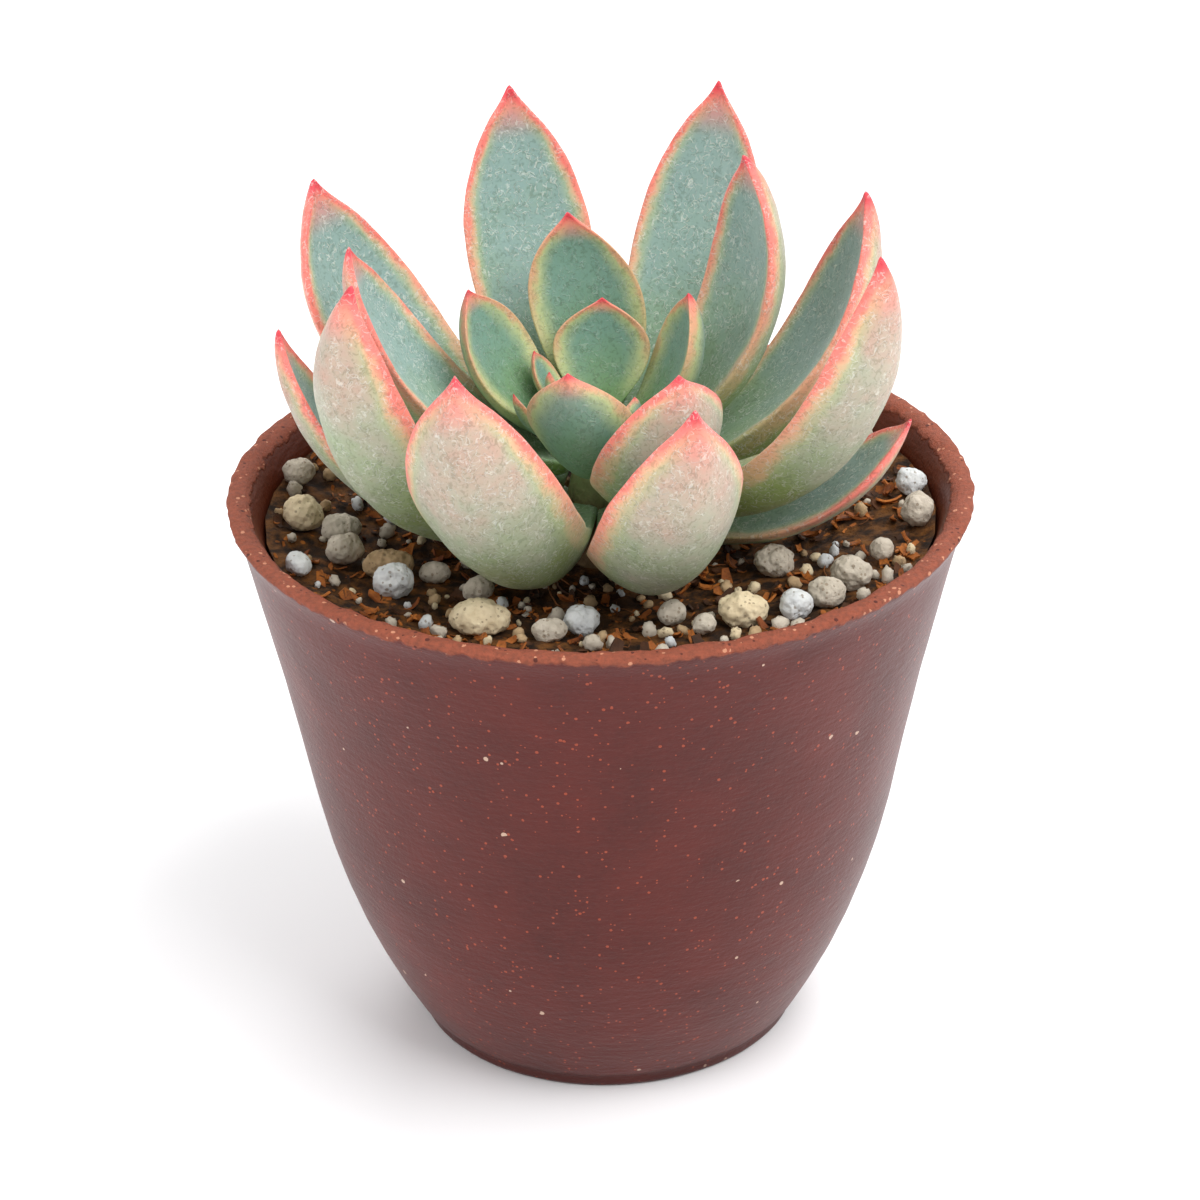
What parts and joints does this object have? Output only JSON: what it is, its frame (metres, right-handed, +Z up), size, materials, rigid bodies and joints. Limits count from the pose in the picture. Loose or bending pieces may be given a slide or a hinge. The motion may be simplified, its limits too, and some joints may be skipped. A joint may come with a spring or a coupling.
{
  "type": "potted succulent",
  "caption": "Rosette succulent with thick pointed leaves on a short stem, in a tapered round pot of gritty soil topped with loose pumice.",
  "frame": {"origin": "centre of the pot's foot, on the surface that it stands on", "axes": "+Z up along the pot's axis, -Y towards the side that shows best, +X to the right seen from there"},
  "size_m": [0.08, 0.08, 0.0983],
  "materials": {
    "fired_clay": "red-brown fired clay, satin, with fine orange flecks and a rough rim",
    "soil": "matt dark potting soil with bark and fibres",
    "stem": "matt green to tan, fleshy",
    "leaf": "grey-green waxy leaf with a coral pink edge and tip",
    "young_leaf": "smooth deeper green young leaf with a thin pale edge",
    "pumice": "matt, pitted, grey-beige to cream"
  },
  "bodies": {
    "root": {"pot": "fired_clay", "soil": "soil", "stem": "stem", "lower_leaf_1": "leaf", "lower_leaf_2": "leaf", "lower_leaf_3": "leaf", "lower_leaf_4": "leaf", "lower_leaf_5": "leaf", "outer_leaf_1": "leaf", "outer_leaf_2": "leaf", "outer_leaf_3": "leaf", "outer_leaf_4": "leaf", "outer_leaf_5": "leaf", "outer_leaf_6": "leaf", "outer_leaf_7": "leaf", "outer_leaf_8": "leaf", "middle_leaf_1": "leaf", "middle_leaf_2": "leaf", "middle_leaf_3": "leaf", "inner_leaf_1": "leaf", "inner_leaf_2": "leaf", "inner_leaf_3": "leaf", "inner_leaf_4": "leaf", "inner_leaf_5": "leaf", "heart_leaf_1": "young_leaf", "heart_leaf_2": "young_leaf", "heart_leaf_3": "young_leaf", "heart_leaf_4": "young_leaf", "heart_leaf_5": "young_leaf", "stone_1": "pumice", "stone_2": "pumice", "stone_3": "pumice", "stone_4": "pumice", "stone_5": "pumice", "stone_6": "pumice", "stone_7": "pumice", "stone_8": "pumice", "stone_9": "pumice", "stone_10": "pumice", "stone_11": "pumice", "stone_12": "pumice", "stone_13": "pumice", "stone_14": "pumice", "stone_15": "pumice", "stone_16": "pumice", "stone_17": "pumice", "stone_18": "pumice", "stone_19": "pumice", "stone_20": "pumice", "stone_21": "pumice", "stone_22": "pumice", "stone_23": "pumice", "stone_24": "pumice", "stone_25": "pumice", "stone_26": "pumice"}
  },
  "joints": []
}
